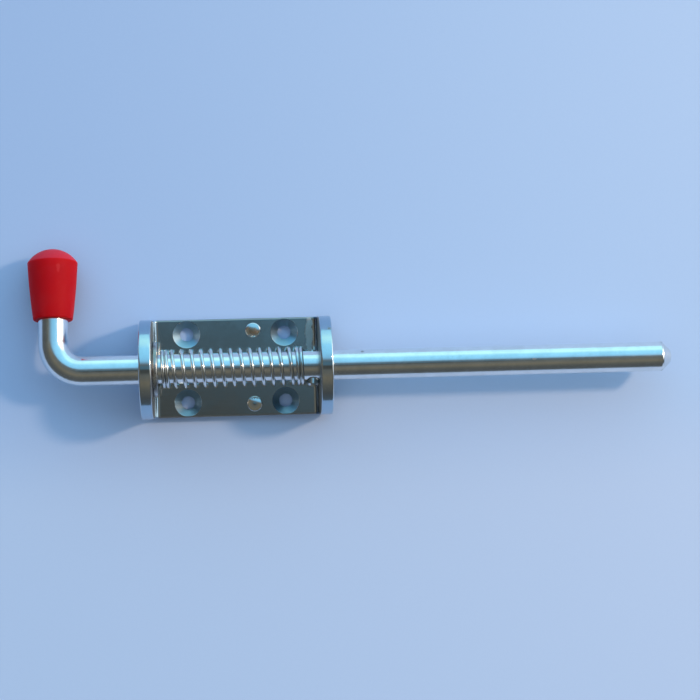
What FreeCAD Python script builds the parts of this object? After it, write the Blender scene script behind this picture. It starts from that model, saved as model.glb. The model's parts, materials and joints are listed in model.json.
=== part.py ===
import FreeCAD, Part
import math
import os

import Sketcher

# Spring loaded gate latch: a sliding round bolt in a folded bracket.
# Millimetres. The origin is the middle of the bracket's mounting face, the bolt
# shoots along +X, the handle points along +Y and +Z is up from the mounting face.

DIMENSIONS = (
    ("bar_width", 40.0, "width of the flat bar that the bracket is folded from"),
    ("bar_thick", 5.0, "thickness of the flat bar"),
    ("lug_span", 77.0, "length of the bracket over both lugs"),
    ("bend_inner", 2.0, "inner radius of the two folds"),
    ("axis_height", 17.5, "height of the bolt's axis above the mounting face"),
    ("edge_round", 0.7, "rounding of the bar's long edges"),
    ("rod_diameter", 12.0, "diameter of the bolt"),
    ("rod_clearance", 0.25, "radial play of the bolt in the lugs"),
    ("bolt_reach", 138.5, "length of the bolt past the outer face of its lug"),
    ("tip_chamfer", 3.5, "chamfer at the bolt's free end"),
    ("handle_offset", 34.8, "distance of the handle's axis from the outer face of its lug"),
    ("handle_bend", 11.5, "bend radius of the handle, at the middle of the rod"),
    ("handle_reach", 50.4, "height of the cap's top above the bolt's axis"),
    ("cap_length", 29.2, "length of the handle cap"),
    ("cap_wall", 1.87, "wall of the cap at its open end"),
    ("cap_flare", 2.2, "how much further the cap's shoulder stands out than its open end"),
    ("cap_crown", 5.7, "height of the cap's dome"),
    ("cap_bulge", 0.25, "how far the cap's sides stand out from a straight taper"),
    ("cap_top_wall", 5.5, "thickness of the cap over the end of the rod"),
    ("cap_clearance", 0.03, "radial play of the cap on the rod"),
    ("lip_round", 0.6, "rounding of the cap's open end"),
    ("pin_diameter", 5.0, "diameter of the stop pin"),
    ("pin_projection", 2.3, "how far the pin's free end stands out of the bolt"),
    ("pin_chamfer", 0.7, "chamfer at the pin's free end"),
    ("seat_gap", 0.1, "gap between faces that slide or press on each other"),
    ("washer_clear", 0.25, "gap that keeps the washer's rim off the fold below it"),
    ("washer_thick", 2.0, "thickness of the washer"),
    ("washer_play", 0.3, "radial gap between the bolt and the washer"),
    ("washer_round", 0.6, "rounding of the washer's edges"),
    ("spring_play", 0.5, "radial gap between the bolt and the spring"),
    ("wire_diameter", 1.5, "diameter of the spring wire"),
    ("coil_gap", 0.06, "gap between the closed coils at the spring's ends"),
    ("closed_turns", 2.0, "closed turns at each end of the spring, in half turns"),
    ("eased_turns", 0.5, "turns between closed and open coils at each end, in half turns"),
    ("open_turns", 12.5, "open turns in the middle of the spring, in half turns"),
    ("screw_pitch", 40.0, "spacing of the screw holes along the bolt"),
    ("screw_edge", 6.0, "distance of the screw holes' centres from the bar's sides"),
    ("screw_hole", 5.5, "diameter of the screw holes"),
    ("sink_diameter", 11.2, "diameter of the countersinks"),
    ("sink_angle", 100.0, "angle of the countersinks, in degrees"),
    ("bump_offset", 7.2, "distance of the pressed bumps from the middle of the plate"),
    ("bump_edge", 5.0, "distance of the bumps' centres from the bar's sides"),
    ("bump_diameter", 6.3, "diameter of the pressed bumps"),
    ("bump_wall", 1.9, "height of the bumps' upright walls"),
    ("bump_crown", 0.6, "how far the bumps' tops are domed"),
    ("bump_round", 0.6, "rounding of the bumps' upper edge"),
    ("dimple_depth", 2.5, "depth of the dimples behind the bumps"),
    ("dimple_diameter", 5.6, "diameter of the dimples behind the bumps"),
    ("waste", 5.0, "how far the cutting shapes reach past the bar"),
)

SAME_PLACE = 1e-4


class Size:
    """A number in millimetres together with the sheet formula that gives it."""

    def __init__(self, number, formula=None):
        self.number = float(number)
        self.formula = formula or repr(float(number))

    def __add__(self, other):
        other = as_size(other)
        return Size(self.number + other.number, f"({self.formula} + {other.formula})")

    def __sub__(self, other):
        other = as_size(other)
        return Size(self.number - other.number, f"({self.formula} - {other.formula})")

    def __mul__(self, other):
        other = as_size(other)
        return Size(self.number * other.number, f"({self.formula} * {other.formula})")

    def __truediv__(self, other):
        other = as_size(other)
        return Size(self.number / other.number, f"({self.formula} / {other.formula})")

    def __neg__(self):
        return Size(-self.number, f"(-1 * {self.formula})")


def as_size(value):
    """The value as a Size, so that sizes and plain numbers mix in sums."""
    return value if isinstance(value, Size) else Size(value)


doc = FreeCAD.newDocument("gate_latch")
sheet = doc.addObject("Spreadsheet::Sheet", "sizes")
size = {}
for row, (alias, number, meaning) in enumerate(DIMENSIONS, start=1):
    sheet.set(f"A{row}", meaning)
    sheet.set(f"B{row}", str(number))
    sheet.setAlias(f"B{row}", alias)
    size[alias] = Size(number, f"sizes.{alias}")
doc.recompute()

ZERO = Size(0)
HALF_SPAN = size["lug_span"] / 2
HALF_WIDTH = size["bar_width"] / 2
BEND_OUTER = size["bend_inner"] + size["bar_thick"]
LUG_TOP = size["axis_height"] + HALF_WIDTH
LUG_INNER = HALF_SPAN - size["bar_thick"]
ROD_RADIUS = size["rod_diameter"] / 2
TIP = HALF_SPAN + size["bolt_reach"]
HANDLE = -(HALF_SPAN + size["handle_offset"])
ROD_END = size["handle_reach"] - size["cap_top_wall"]
CAP_SOCKET = ROD_RADIUS + size["cap_clearance"]
CAP_MOUTH = CAP_SOCKET + size["cap_wall"]
CAP_SHOULDER = CAP_MOUTH + size["cap_flare"]
PIN_RADIUS = size["pin_diameter"] / 2
PIN_PLACE = LUG_INNER - size["seat_gap"] - PIN_RADIUS
PIN_STAND = ROD_RADIUS + size["pin_projection"]
WIRE_RADIUS = size["wire_diameter"] / 2
COIL_RADIUS = ROD_RADIUS + size["spring_play"] + WIRE_RADIUS
WASHER_RADIUS = size["axis_height"] - size["bar_thick"] - size["bend_inner"] / 2 - size["washer_clear"]
WASHER_BACK = -LUG_INNER + size["seat_gap"]
WASHER_FRONT = WASHER_BACK + size["washer_thick"]
SPRING_START = WASHER_FRONT + size["seat_gap"] + WIRE_RADIUS
SPRING_END = PIN_PLACE - PIN_RADIUS - size["seat_gap"] - WIRE_RADIUS
SCREW_ALONG = size["screw_pitch"] / 2
SCREW_ACROSS = HALF_WIDTH - size["screw_edge"]
BUMP_ACROSS = HALF_WIDTH - size["bump_edge"]


def handle_droop():
    """The angle by which the bolt has turned so that the cap's shoulder lies on the surface."""
    along = size["handle_reach"] - size["cap_crown"]
    out = CAP_SHOULDER
    height = size["axis_height"] - size["seat_gap"]
    span = Size(
        math.hypot(along.number, out.number),
        f"sqrt({(along * along + out * out).formula})",
    )
    lean = height / span
    return Size(
        math.degrees(math.asin(lean.number) - math.atan2(out.number, along.number)),
        f"(asin({lean.formula}) - atan({(out / along).formula}))",
    )


def new_body(name):
    """An empty body whose label names its file."""
    body = doc.addObject("PartDesign::Body", name)
    body.Label = name
    return body


def turn_with_handle(body):
    """Turns a finished body about the bolt's axis, down to where the handle lies."""
    droop = -handle_droop()
    centre = FreeCAD.Vector(0, 0, size["axis_height"].number)
    turn = FreeCAD.Rotation(FreeCAD.Vector(1, 0, 0), droop.number)
    body.Placement = FreeCAD.Placement(FreeCAD.Vector(), turn, centre)
    rise = size["axis_height"]
    body.setExpression("Placement.Rotation.Angle", droop.formula)
    body.setExpression("Placement.Base.y", f"{rise.formula} * sin({droop.formula})")
    body.setExpression("Placement.Base.z", f"{rise.formula} * (1 - cos({droop.formula}))")
    doc.recompute()
    return body


def new_sketch(body, name, plane, lift=ZERO, shift=ZERO):
    """A sketch on one of the body's own planes, lifted off it and shifted along its first axis."""
    sketch = body.newObject("Sketcher::SketchObject", name)
    sketch.AttachmentSupport = (next(f for f in body.Origin.OriginFeatures if f.Role == plane), "")
    sketch.MapMode = "FlatFace"
    sketch.AttachmentOffset = FreeCAD.Placement(
        FreeCAD.Vector(shift.number, 0, lift.number), FreeCAD.Rotation()
    )
    sketch.setExpression("AttachmentOffset.Base.x", shift.formula)
    sketch.setExpression("AttachmentOffset.Base.z", lift.formula)
    return sketch


def bind(sketch, constraint, length):
    """Adds a constraint whose value follows a formula of the sheet."""
    index = sketch.addConstraint(constraint)
    sketch.setExpression(f"Constraints[{index}]", length.formula)


def pin_point(sketch, geometry, point, across, up):
    """Holds one point of a sketch at distances from the sketch's origin."""
    bind(sketch, Sketcher.Constraint("DistanceX", -1, 1, geometry, point, across.number), across)
    bind(sketch, Sketcher.Constraint("DistanceY", -1, 1, geometry, point, up.number), up)


def add_circle(sketch, across, up, radius):
    """A circle with its centre and radius held by formulas."""
    centre = FreeCAD.Vector(across.number, up.number, 0)
    geometry = sketch.addGeometry(Part.Circle(centre, FreeCAD.Vector(0, 0, 1), radius.number))
    pin_point(sketch, geometry, 3, across, up)
    bind(sketch, Sketcher.Constraint("Radius", geometry, radius.number), radius)


def flat_vector(point):
    """A sketch point as a plain vector."""
    return FreeCAD.Vector(point[0].number, point[1].number, 0)


def arc_between(start, end, centre, turn):
    """The arc from start to end about a centre, and the names of its two ends."""
    middle = flat_vector(centre)
    first, last = (start, end) if turn == "left" else (end, start)
    first_ray = flat_vector(first) - middle
    last_ray = flat_vector(last) - middle
    circle = Part.Circle(middle, FreeCAD.Vector(0, 0, 1), first_ray.Length)
    arc = Part.ArcOfCircle(circle, math.atan2(first_ray.y, first_ray.x), math.atan2(last_ray.y, last_ray.x))
    return arc, (1, 2) if turn == "left" else (2, 1)


def hold_centre(sketch, geometry, start, end, centre):
    """Holds an arc's centre along the line on which its fixed ends leave it free."""
    level_chord = abs(end[0].number - start[0].number) > abs(end[1].number - start[1].number)
    kind, length = ("DistanceY", centre[1]) if level_chord else ("DistanceX", centre[0])
    bind(sketch, Sketcher.Constraint(kind, -1, 1, geometry, 3, length.number), length)


def add_outline(sketch, corners, closed=True):
    """Lines and arcs through corners that are held by formulas.

    A corner is (across, up), or (across, up, centre, turn) where the stretch that
    leaves it is an arc about that centre, turning left or right.
    """
    ends = []
    stretches = len(corners) if closed else len(corners) - 1
    for index in range(stretches):
        start = corners[index]
        end = corners[(index + 1) % len(corners)]
        if len(start) == 2:
            geometry = sketch.addGeometry(Part.LineSegment(flat_vector(start), flat_vector(end)))
            ends.append((geometry, 1, 2))
        else:
            arc, (first, last) = arc_between(start, end, start[2], start[3])
            geometry = sketch.addGeometry(arc)
            hold_centre(sketch, geometry, start, end, start[2])
            ends.append((geometry, first, last))
        pin_point(sketch, geometry, ends[-1][1], start[0], start[1])
    for index in range(1, stretches):
        before = ends[index - 1]
        after = ends[index]
        sketch.addConstraint(Sketcher.Constraint("Coincident", before[0], before[2], after[0], after[1]))
    if closed:
        sketch.addConstraint(Sketcher.Constraint("Coincident", ends[-1][0], ends[-1][2], ends[0][0], ends[0][1]))
    else:
        pin_point(sketch, ends[-1][0], ends[-1][2], corners[-1][0], corners[-1][1])


def pad(body, name, sketch, length, both_ways=False):
    """A sketch raised to a length, to one side or half to each."""
    feature = body.newObject("PartDesign::Pad", name)
    feature.Profile = sketch
    feature.Length = length.number
    feature.setExpression("Length", length.formula)
    feature.SideType = "Symmetric" if both_ways else "One side"
    doc.recompute()
    return feature


def pocket(body, name, sketch, depth=None, flip=False):
    """A sketch cut to a depth, or through everything both ways where no depth is given."""
    before = body.Shape.Volume
    feature = body.newObject("PartDesign::Pocket", name)
    feature.Profile = sketch
    if depth is None:
        feature.Type = "ThroughAll"
        feature.SideType = "Symmetric"
    else:
        feature.Length = depth.number
        feature.setExpression("Length", depth.formula)
        feature.Reversed = flip
    doc.recompute()
    if not body.Shape.Volume < before:
        raise RuntimeError(f"{name} cuts nothing")
    return feature


def revolve(body, name, sketch):
    """A sketch turned full circle about its own upright axis."""
    feature = body.newObject("PartDesign::Revolution", name)
    feature.Profile = sketch
    feature.ReferenceAxis = (sketch, ["V_Axis"])
    feature.Angle = 360
    doc.recompute()
    return feature


def edges_where(feature, test):
    """Names of the feature's edges that pass a test."""
    return [f"Edge{i}" for i, edge in enumerate(feature.Shape.Edges, start=1) if test(edge)]


def dress(body, kind, name, base, test, length):
    """A fillet or chamfer on the edges of the base feature that pass a test."""
    names = edges_where(base, test)
    if not names:
        raise RuntimeError(f"{name} finds no edge")
    feature = body.newObject(f"PartDesign::{kind}", name)
    feature.Base = (base, names)
    key = "Radius" if kind == "Fillet" else "Size"
    setattr(feature, key, length.number)
    feature.setExpression(key, length.formula)
    doc.recompute()
    return feature


def is_ring(edge, axis, place, radius):
    """Whether an edge is a full circle of a radius, standing at a place along an axis."""
    if edge.Degenerated or not edge.isClosed() or not isinstance(edge.Curve, Part.Circle):
        return False
    same_radius = abs(edge.Curve.Radius - radius.number) < SAME_PLACE
    return same_radius and abs(getattr(edge.Curve.Center, axis) - place.number) < SAME_PLACE


def on_bar_side(edge):
    """Whether an edge runs along one of the flat bar's two cut sides or round a lug's top."""
    side = HALF_WIDTH.number
    height = size["axis_height"].number
    for point in edge.discretize(5):
        reach = abs(point.y) if point.z <= height else math.hypot(point.y, point.z - height)
        if abs(reach - side) > SAME_PLACE:
            return False
    return True


def crosses_thickness(edge):
    """Whether an edge only joins the two faces of a lug, along the bolt's direction."""
    return abs(edge.tangentAt(edge.FirstParameter).x) > 1 - SAME_PLACE and edge.BoundBox.ZLength < SAME_PLACE


def make_bracket():
    """Flat bar folded to a U, with half-round lugs, countersunk holes and two pressed bumps."""
    body = new_body("bracket")
    inner_centre = HALF_SPAN - BEND_OUTER
    right_bend = (inner_centre, BEND_OUTER)
    left_bend = (-inner_centre, BEND_OUTER)
    section = new_sketch(body, "bar_section", "XZ_Plane")
    add_outline(section, (
        (-inner_centre, ZERO),
        (inner_centre, ZERO, right_bend, "left"),
        (HALF_SPAN, BEND_OUTER),
        (HALF_SPAN, LUG_TOP),
        (LUG_INNER, LUG_TOP),
        (LUG_INNER, BEND_OUTER, right_bend, "right"),
        (inner_centre, size["bar_thick"]),
        (-inner_centre, size["bar_thick"], left_bend, "right"),
        (-LUG_INNER, BEND_OUTER),
        (-LUG_INNER, LUG_TOP),
        (-HALF_SPAN, LUG_TOP),
        (-HALF_SPAN, BEND_OUTER, left_bend, "left"),
    ))
    pad(body, "folded_bar", section, size["bar_width"], both_ways=True)

    corner = HALF_WIDTH + size["waste"]
    above = LUG_TOP + size["waste"]
    height = size["axis_height"]
    tops = new_sketch(body, "lug_top_waste", "YZ_Plane")
    add_outline(tops, (
        (-corner, height),
        (-HALF_WIDTH, height, (ZERO, height), "right"),
        (HALF_WIDTH, height),
        (corner, height),
        (corner, above),
        (-corner, above),
    ))
    pocket(body, "lug_tops", tops)

    bore = new_sketch(body, "bolt_bore_circle", "YZ_Plane")
    add_circle(bore, ZERO, height, ROD_RADIUS + size["rod_clearance"])
    bored = pocket(body, "bolt_bores", bore)

    edged = dress(
        body, "Fillet", "bar_edges", bored,
        lambda edge: on_bar_side(edge) and not crosses_thickness(edge), size["edge_round"],
    )

    radius = size["bump_diameter"] / 2
    ledge = size["bar_thick"] + size["bump_wall"]
    crest = ledge + size["bump_crown"]
    crown_radius = (radius * radius + size["bump_crown"] * size["bump_crown"]) / (size["bump_crown"] * 2)
    dimple_circles = new_sketch(body, "dimple_circles", "XY_Plane")
    for name, side in (("front", -BUMP_ACROSS), ("back", BUMP_ACROSS)):
        profile = new_sketch(body, f"{name}_bump_section", "XZ_Plane", lift=-side, shift=size["bump_offset"])
        add_outline(profile, (
            (ZERO, size["bar_thick"] / 2),
            (radius, size["bar_thick"] / 2),
            (radius, ledge, (ZERO, crest - crown_radius), "left"),
            (ZERO, crest),
        ))
        raised = revolve(body, f"{name}_bump", profile)
        add_circle(dimple_circles, size["bump_offset"], side, size["dimple_diameter"] / 2)
    dress(
        body, "Fillet", "bump_edges", raised,
        lambda edge: is_ring(edge, "z", ledge, radius), size["bump_round"],
    )
    pocket(body, "dimples", dimple_circles, depth=size["dimple_depth"], flip=True)

    centres = new_sketch(body, "screw_centres", "XY_Plane", lift=size["bar_thick"])
    for along in (SCREW_ALONG, -SCREW_ALONG):
        for across in (SCREW_ACROSS, -SCREW_ACROSS):
            add_circle(centres, along, across, size["screw_hole"] / 2)
    doc.recompute()
    before = body.Shape.Volume
    holes = body.newObject("PartDesign::Hole", "screw_holes")
    holes.Profile = centres
    holes.DepthType = "ThroughAll"
    holes.HoleCutType = "Countersink"
    holes.HoleCutCustomValues = True
    for key, alias in (
        ("Diameter", "screw_hole"),
        ("HoleCutDiameter", "sink_diameter"),
        ("HoleCutCountersinkAngle", "sink_angle"),
    ):
        setattr(holes, key, size[alias].number)
        holes.setExpression(key, size[alias].formula)
    doc.recompute()
    if not body.Shape.Volume < before:
        raise RuntimeError("the screw holes cut nothing")
    return body


def make_bolt_rod():
    """Round bar with a chamfered tip, bent square at the other end for the handle."""
    body = new_body("bolt_rod")
    bend = size["handle_bend"]
    route = new_sketch(body, "rod_route", "XY_Plane", lift=size["axis_height"])
    add_outline(route, (
        (TIP, ZERO),
        (HANDLE + bend, ZERO, (HANDLE + bend, bend), "right"),
        (HANDLE, bend),
        (HANDLE, ROD_END),
    ), closed=False)
    circle = new_sketch(body, "rod_circle", "YZ_Plane", lift=TIP)
    add_circle(circle, ZERO, size["axis_height"], ROD_RADIUS)
    bar = body.newObject("PartDesign::AdditivePipe", "bent_bar")
    bar.Profile = circle
    bar.Spine = (route, ["Edge1", "Edge2", "Edge3"])
    doc.recompute()
    dress(
        body, "Chamfer", "tip_edge", bar,
        lambda edge: is_ring(edge, "x", TIP, ROD_RADIUS), size["tip_chamfer"],
    )
    hole = new_sketch(body, "pin_hole_circle", "XZ_Plane")
    add_circle(hole, PIN_PLACE, size["axis_height"], PIN_RADIUS)
    pocket(body, "pin_hole", hole)
    return body


def make_stop_pin():
    """Pin driven through the bolt, flush on one side and standing out on the other."""
    body = new_body("stop_pin")
    circle = new_sketch(body, "pin_circle", "XZ_Plane", lift=-ROD_RADIUS)
    add_circle(circle, PIN_PLACE, size["axis_height"], PIN_RADIUS)
    shaft = pad(body, "pin_shaft", circle, ROD_RADIUS + PIN_STAND)
    dress(
        body, "Chamfer", "pin_end", shaft,
        lambda edge: is_ring(edge, "y", -PIN_STAND, PIN_RADIUS), size["pin_chamfer"],
    )
    return body


def make_washer():
    """Flat washer on the bolt, between the handle's lug and the spring."""
    body = new_body("washer")
    rings = new_sketch(body, "washer_circles", "YZ_Plane", lift=WASHER_BACK)
    add_circle(rings, ZERO, size["axis_height"], WASHER_RADIUS)
    add_circle(rings, ZERO, size["axis_height"], ROD_RADIUS + size["washer_play"])
    ring = pad(body, "washer_ring", rings, size["washer_thick"])
    dress(
        body, "Fillet", "washer_edges", ring,
        lambda edge: any(is_ring(edge, "x", place, WASHER_RADIUS) for place in (WASHER_BACK, WASHER_FRONT)),
        size["washer_round"],
    )
    return body


def coil_steps():
    """How far each half turn of the spring advances along the bolt, from end to end.

    Closed coils lie side by side at both ends, the coils next to them are eased to half way,
    and the open coils share the length that is left.
    """
    closed, eased, opened = (
        round(size[alias].number * 2) for alias in ("closed_turns", "eased_turns", "open_turns")
    )
    closed_step = (size["wire_diameter"] + size["coil_gap"]).number / 2
    length = (SPRING_END - SPRING_START).number
    open_step = (length - closed_step * (closed * 2 + eased)) / (opened + eased)
    eased_step = (closed_step + open_step) / 2
    end = [closed_step] * closed + [eased_step] * eased
    return end + [open_step] * opened + end[::-1]


def half_turns():
    """The spring's wire as half turns, each given by its start, middle and end.

    A half turn is a half circle in a plane that leans along the bolt by its step, so every
    half turn starts and ends upright and the next one follows on smoothly. The wire's end is
    at the front of the bolt and goes under it first.
    """
    radius = COIL_RADIUS.number
    place = SPRING_START.number
    side = 1
    for step in coil_steps():
        belly = math.hypot(radius, step / 2)
        start = FreeCAD.Vector(place, -side * radius, 0)
        middle = FreeCAD.Vector(place + step / 2, 0, -side * belly)
        end = FreeCAD.Vector(place + step, side * radius, 0)
        yield start, middle, end
        place += step
        side = -side


def make_spring():
    """Round wire wound right-handed about the bolt, with closed coils at both ends."""
    turns = list(half_turns())
    route = Part.Wire([Part.Arc(*turn).toShape() for turn in turns])
    wire = Part.Face(Part.Wire([Part.makeCircle(WIRE_RADIUS.number, turns[0][0], FreeCAD.Vector(0, 0, 1))]))
    spring = doc.addObject("Part::Feature", "spring")
    spring.Label = "spring"
    spring.Shape = route.makePipe(wire)
    spring.Placement = FreeCAD.Placement(FreeCAD.Vector(0, 0, size["axis_height"].number), FreeCAD.Rotation())
    return spring


def make_handle_cap():
    """Moulded cap with tapered sides, a domed top and a socket for the rod."""
    body = new_body("handle_cap")
    top = size["handle_reach"]
    crown = size["cap_crown"]
    ledge = top - crown
    foot = top - size["cap_length"]
    dome_radius = (CAP_SHOULDER * CAP_SHOULDER + crown * crown) / (crown * 2)
    drop = ledge - foot
    flare = size["cap_flare"]
    bulge = size["cap_bulge"]
    chord = Size(
        math.hypot(drop.number, flare.number),
        f"sqrt({(drop * drop + flare * flare).formula})",
    )
    side_radius = (chord * chord / 4 + bulge * bulge) / (bulge * 2)
    sink = side_radius - bulge
    side_centre = (
        (CAP_SHOULDER + CAP_MOUTH) / 2 - sink * drop / chord,
        (ledge + foot) / 2 + sink * flare / chord,
    )
    profile = new_sketch(body, "cap_section", "XY_Plane", lift=size["axis_height"], shift=HANDLE)
    add_outline(profile, (
        (ZERO, ROD_END),
        (CAP_SOCKET, ROD_END),
        (CAP_SOCKET, foot),
        (CAP_MOUTH, foot, side_centre, "left"),
        (CAP_SHOULDER, ledge, (ZERO, top - dome_radius), "left"),
        (ZERO, top),
    ))
    turned = revolve(body, "cap_turned", profile)
    dress(
        body, "Fillet", "cap_lip", turned,
        lambda edge: is_ring(edge, "y", foot, CAP_MOUTH), size["lip_round"],
    )
    return body


def main():
    """Builds the sub-parts, checks them and writes one file for each."""
    turning = [turn_with_handle(make()) for make in (make_bolt_rod, make_stop_pin, make_handle_cap)]
    bodies = [make_bracket(), make_washer(), make_spring()] + turning
    doc.recompute()
    for item in doc.Objects:
        if {"Invalid", "Error"} & set(item.State):
            raise RuntimeError(f"{item.Name} failed: {item.State}")
    for body in bodies:
        shape = body.Shape
        if shape.isNull() or not shape.isValid() or len(shape.Solids) != 1:
            raise RuntimeError(f"{body.Label} isn't one valid solid")
    os.makedirs("parts", exist_ok=True)
    for body in bodies:
        body.Shape.exportStep(os.path.join("parts", f"{body.Label}.step"))
        box = body.Shape.BoundBox
        print(body.Label, round(body.Shape.Volume, 2), [round(v, 3) for v in (
            box.XMin, box.XMax, box.YMin, box.YMax, box.ZMin, box.ZMax)])


main()
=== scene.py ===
"""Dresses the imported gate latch: winds its spring, finishes its metal and its cap, and sets it on paper."""

import json
import math

import bpy
import numpy as np
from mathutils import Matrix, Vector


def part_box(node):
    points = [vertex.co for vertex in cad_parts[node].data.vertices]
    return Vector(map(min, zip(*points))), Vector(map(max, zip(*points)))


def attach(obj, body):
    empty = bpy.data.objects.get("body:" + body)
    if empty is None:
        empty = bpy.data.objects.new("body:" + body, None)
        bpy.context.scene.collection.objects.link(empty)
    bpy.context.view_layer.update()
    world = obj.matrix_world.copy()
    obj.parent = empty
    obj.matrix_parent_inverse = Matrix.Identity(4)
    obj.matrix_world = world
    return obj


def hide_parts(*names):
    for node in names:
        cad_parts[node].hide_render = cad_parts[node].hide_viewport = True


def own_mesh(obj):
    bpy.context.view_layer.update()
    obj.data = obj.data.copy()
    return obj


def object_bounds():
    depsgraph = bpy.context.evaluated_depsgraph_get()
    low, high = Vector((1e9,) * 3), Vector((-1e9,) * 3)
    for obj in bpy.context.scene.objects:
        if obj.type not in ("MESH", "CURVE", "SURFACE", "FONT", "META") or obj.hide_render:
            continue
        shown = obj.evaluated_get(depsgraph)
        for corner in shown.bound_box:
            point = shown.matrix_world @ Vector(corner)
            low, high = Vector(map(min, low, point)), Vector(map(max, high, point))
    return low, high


bl_info = {
    "name": "Gate Latch Dressing",
    "version": (1, 0, 0),
    "blender": (4, 5, 0),
    "location": "View3D > Sidebar > Latch",
    "description": "Spring, finishes, light and camera for a spring loaded gate latch",
    "category": "Object",
}

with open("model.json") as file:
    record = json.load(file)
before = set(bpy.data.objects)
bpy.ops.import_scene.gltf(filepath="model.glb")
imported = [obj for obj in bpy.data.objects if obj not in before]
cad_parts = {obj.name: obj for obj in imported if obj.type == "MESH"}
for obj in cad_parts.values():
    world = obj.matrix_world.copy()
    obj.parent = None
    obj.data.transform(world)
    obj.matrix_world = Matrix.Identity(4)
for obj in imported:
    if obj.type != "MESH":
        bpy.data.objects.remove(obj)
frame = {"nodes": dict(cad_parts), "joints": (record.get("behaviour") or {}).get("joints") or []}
CAD_BOX = [list(corner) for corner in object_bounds()]
SPRING_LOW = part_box("spring")[0]
PIN_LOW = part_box("stop_pin")[0]
CAP_LOW, CAP_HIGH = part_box("handle_cap")
AXIS_HEIGHT = next(j for j in frame["joints"] if j["name"] == "bolt_turn")["pos_m"][2]

MM = 0.001

# Rings along the spring's wire, and points round each ring.
WIRE_STEPS = 1297
WIRE_SIDES = 14

# Marks, each with its middle and its reach in millimetres, and the scale of its ragged edge: wear, and on the
# upper bump a painted brown reflection.
LUG_NICK = ((37.3, 14.6, 31.2), (0.8, 0.9, 1.1), 1500.0)
# Painted reflection: a brown patch on the upper bump's crown.
BUMP_PAINTED_REFLECTION = ((7.3, 14.6, 7.4), (2.2, 2.0, 1.2), 700.0)
PALE_BAND = ((30.2, 13.5, 5.0), (1.9, 9.0, 1.0), 420.0)
BOLT_SCUFF = ((50.9, 5.1, 20.7), (0.9, 0.8, 0.9), 1600.0)
BOLT_SCRATCH = ((120.4, 0.3, 23.5), (1.0, 0.5, 0.8), 1600.0)
CAP_RUB = ((-70.2, 41.9, 19.8), (0.9, 2.2, 2.5), 900.0)

# Where most of a noise lies, and where a grain begins to roughen a drawn surface.
NOISE_LOW = 0.3
NOISE_HIGH = 0.7
GRAIN_LOW = 0.35

# How the grain of rolled bar and the lines of drawn bar are stretched.
ROLLED_STRETCH = (0.06, 1.0, 0.3)
DRAWN_STRETCH = (1.0, 1.0, 0.02)

# Where the bracket's masks come and go: off a face, up from the plate, in from an edge, out from the bolt.
FACE_OFF = (0.1 * MM, 0.4 * MM)
FACE_UP = (0.5 * MM, 2 * MM)
SIDE_IN = (0.8 * MM, 0.5 * MM)
SIDE_UP = 3 * MM
RIM_IN = (0.4 * MM, 0.1 * MM)
RIM_OUT = (8 * MM, 16 * MM)
FOLD_IN = (1.6 * MM, 1.0 * MM)
FOLD_UP = (2 * MM, 6 * MM)

# Where a countersink's mask fades, in shares of its radius.
SEAT_FADE = (0.96, 1.02)

# How far the bolt's cut tip is softened on either side of its edge, and how deep.
TIP_SHARP = 0.1 * MM
TIP_SOFT = 0.7 * MM
TIP_DEPTH = 0.33 * MM

# Where the cap's dome and its painted sheen take over from its side, before and after the shoulder.
DOME_BEFORE = 0.1 * MM
DOME_AFTER = 0.5 * MM

# The paper's half width, its gap under the latch, and where its colour changes along and across the bolt, as
# painted light: paler towards the lamp, paler and warmer on the side away from the handle.
PAPER_REACH = 12.0
PAPER_GAP = 0.1 * MM
PAPER_ALONG = (-0.16, 0.20)
PAPER_ACROSS = (0.0, -0.06)

# The surroundings: which way the sky and the glow lie, and where each begins and is full.
SKY_WAY = (0.33, 1.0, 0.0)
SKY_EDGE = (0.15, 0.34)
GLOW_WAY = (0.94, 0.24, 0.24)
GLOW_EDGE = (0.86, 0.96)
GLOW = (1.25, 1.27, 1.22, 1)
OVERHEAD_EDGE = (0.975, 0.995)
OVERHEAD_SPLIT = (-0.03, 0.04)
OVERHEAD_ROOM = (0.044, 0.050, 0.049, 1)
OVERHEAD_SKY = (0.058, 0.122, 0.17, 1)

SENSOR_WIDTH = 36.0


class LatchSpringSettings(bpy.types.PropertyGroup):
    """Sizes of the spring's wire and of its coils."""

    wire: bpy.props.FloatProperty(
        name="Wire", description="Diameter of the spring wire",
        default=1.5 * MM, min=0.5 * MM, max=4 * MM, precision=4, unit="LENGTH",
    )
    coil: bpy.props.FloatProperty(
        name="Coil", description="Radius of the coils at the middle of the wire",
        default=7.25 * MM, min=3 * MM, max=20 * MM, precision=4, unit="LENGTH",
    )
    turns: bpy.props.FloatProperty(
        name="Turns", description="Turns from end to end", default=17.5, min=6, max=40,
    )
    closed: bpy.props.FloatProperty(
        name="Closed turns", description="Turns at each end that lie side by side",
        default=1.8, min=0.5, max=4,
    )
    eased: bpy.props.FloatProperty(
        name="Eased turns", description="Turns over which the coils open", default=0.9, min=0.5, max=4,
    )
    close_gap: bpy.props.FloatProperty(
        name="Closed gap", description="Gap between closed coils",
        default=0.06 * MM, min=0, max=1 * MM, precision=5, unit="LENGTH",
    )
    pin_gap: bpy.props.FloatProperty(
        name="Pin gap", description="Gap between the last coil and the stop pin",
        default=0.1 * MM, min=0, max=1 * MM, precision=5, unit="LENGTH",
    )


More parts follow.
